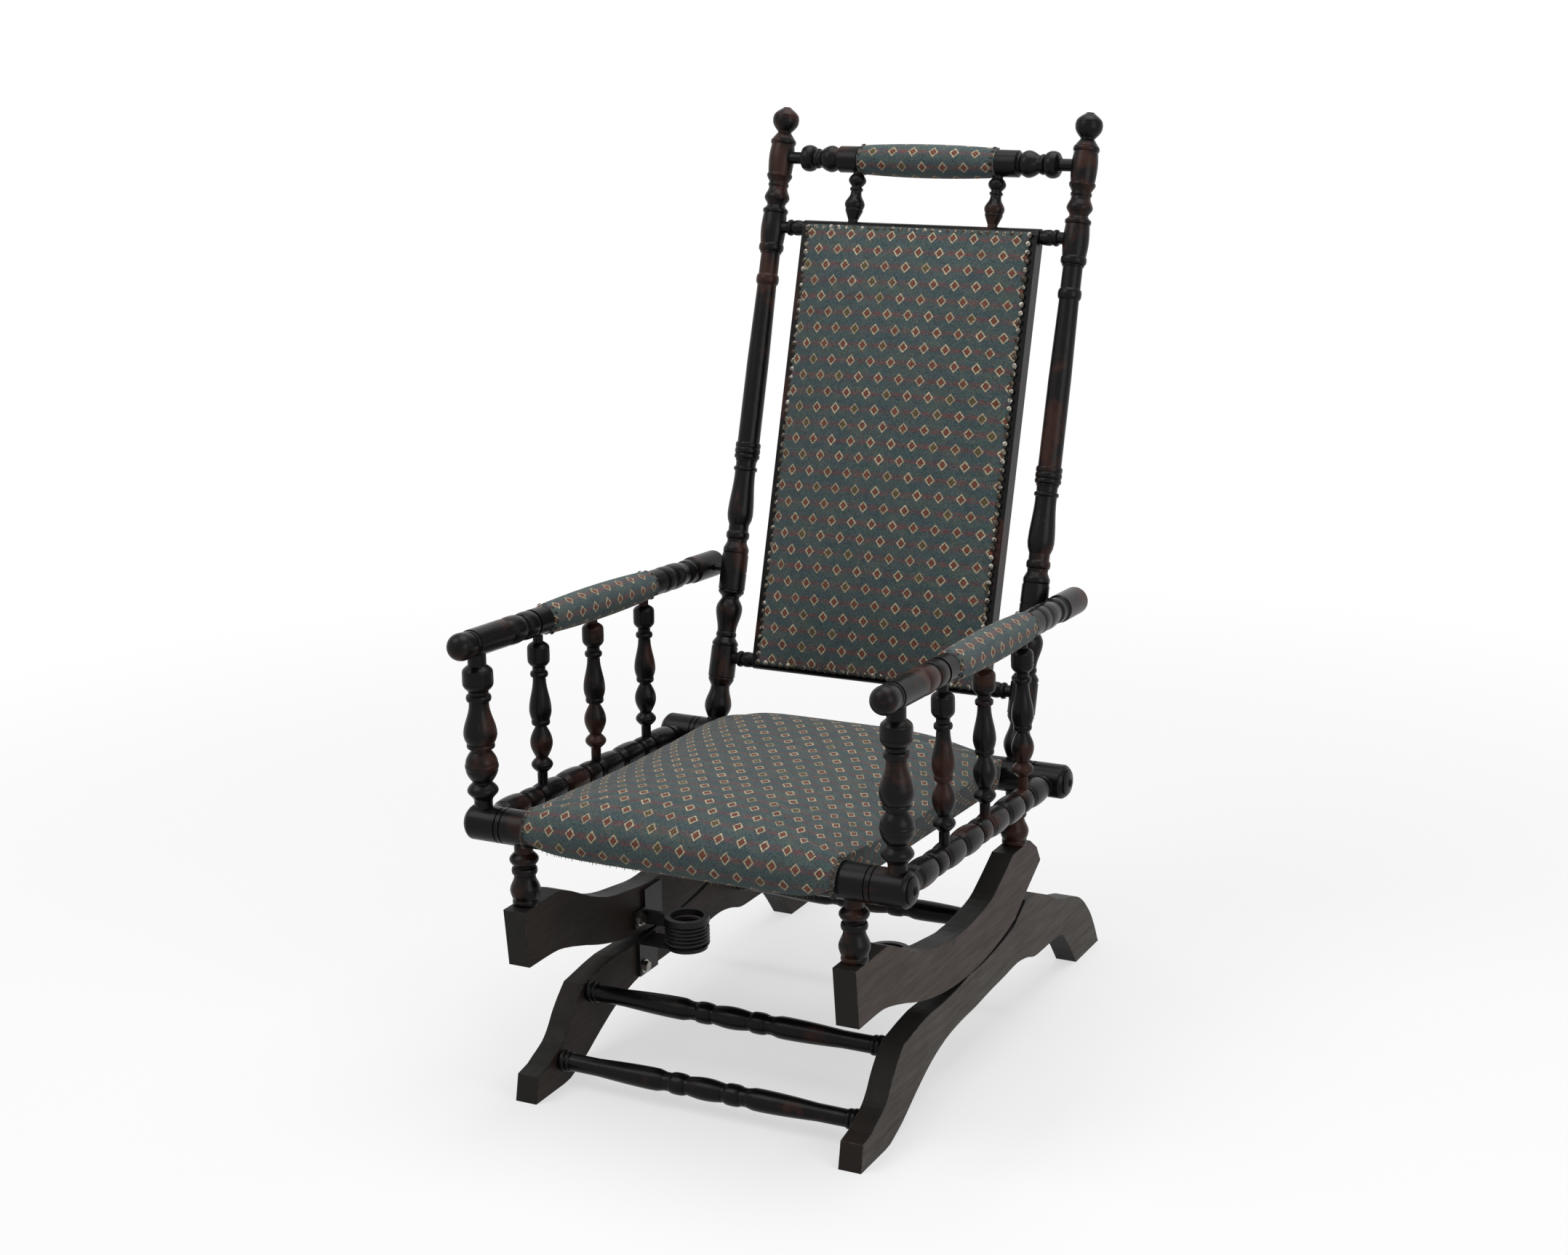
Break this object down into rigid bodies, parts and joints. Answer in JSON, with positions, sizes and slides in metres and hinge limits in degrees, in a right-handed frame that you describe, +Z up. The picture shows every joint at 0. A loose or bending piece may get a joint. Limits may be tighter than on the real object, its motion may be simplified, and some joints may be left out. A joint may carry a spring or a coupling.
{
  "type": "platform rocker",
  "caption": "Upholstered armchair with turned wooden posts, rails and spindles, rocking on a fixed floor base with coil springs.",
  "frame": {"origin": "on the floor, under the middle of the chair's bounding box", "axes": "+Z up, -Y towards the front of the seat, +X towards the sitter's left, which is on the right as seen from the front"},
  "size_m": [0.571, 0.7785, 1.1],
  "materials": {
    "turned_wood": "satin ebonised",
    "boards": "worn dark stain",
    "upholstery": "woven cloth",
    "webbing": "jute webbing",
    "springs": "dull black iron",
    "bolts": "dull steel"
  },
  "bodies": {
    "base": {"base_side_left": "boards", "base_side_right": "boards", "stretcher_upper": "turned_wood", "stretcher_lower": "turned_wood", "stretcher_rear": "turned_wood", "spring_bracket_lower_left": "springs", "spring_bracket_lower_right": "springs", "spring_bolt_lower_left": "bolts", "spring_bolt_lower_right": "bolts", "spring_coil_left": "springs", "spring_coil_right": "springs"},
    "rocker": {"rocker_side_left": "boards", "rocker_side_right": "boards", "leg_front_left": "turned_wood", "leg_front_right": "turned_wood", "leg_rear_left": "turned_wood", "leg_rear_right": "turned_wood", "seat_rail_front": "turned_wood", "seat_rail_rear": "turned_wood", "seat_rail_left": "turned_wood", "seat_rail_right": "turned_wood", "arm_post_left": "turned_wood", "arm_post_right": "turned_wood", "arm_spindle_left_1": "turned_wood", "arm_spindle_left_2": "turned_wood", "arm_spindle_left_3": "turned_wood", "arm_spindle_right_1": "turned_wood", "arm_spindle_right_2": "turned_wood", "arm_spindle_right_3": "turned_wood", "arm_left": "turned_wood", "arm_right": "turned_wood", "arm_dowel_left": "turned_wood", "arm_dowel_right": "turned_wood", "arm_pad_left": "upholstery", "arm_pad_right": "upholstery", "back_post_left": "turned_wood", "back_post_right": "turned_wood", "back_rail_top": "turned_wood", "back_rail_bottom": "turned_wood", "back_stile_left": "turned_wood", "back_stile_right": "turned_wood", "back_pad": "upholstery", "back_cover": "upholstery", "crest_rail": "turned_wood", "crest_pad": "upholstery", "crest_spindle_left": "turned_wood", "crest_spindle_right": "turned_wood", "seat_cushion": "upholstery", "seat_webbing": "webbing", "spring_bracket_upper_left": "springs", "spring_bracket_upper_right": "springs", "spring_bolt_upper_left": "bolts", "spring_bolt_upper_right": "bolts"}
  },
  "joints": [
    {"name": "rock", "type": "hinge", "parent": "base", "child": "rocker", "pos_m": [0, -0.055, 0.154], "axis": [1, 0, 0], "range_deg": [-3, 9], "stiffness_Nm_per_rad": 150, "springref_deg": 1.15, "deforming": ["spring_coil_left", "spring_coil_right"]}
  ]
}
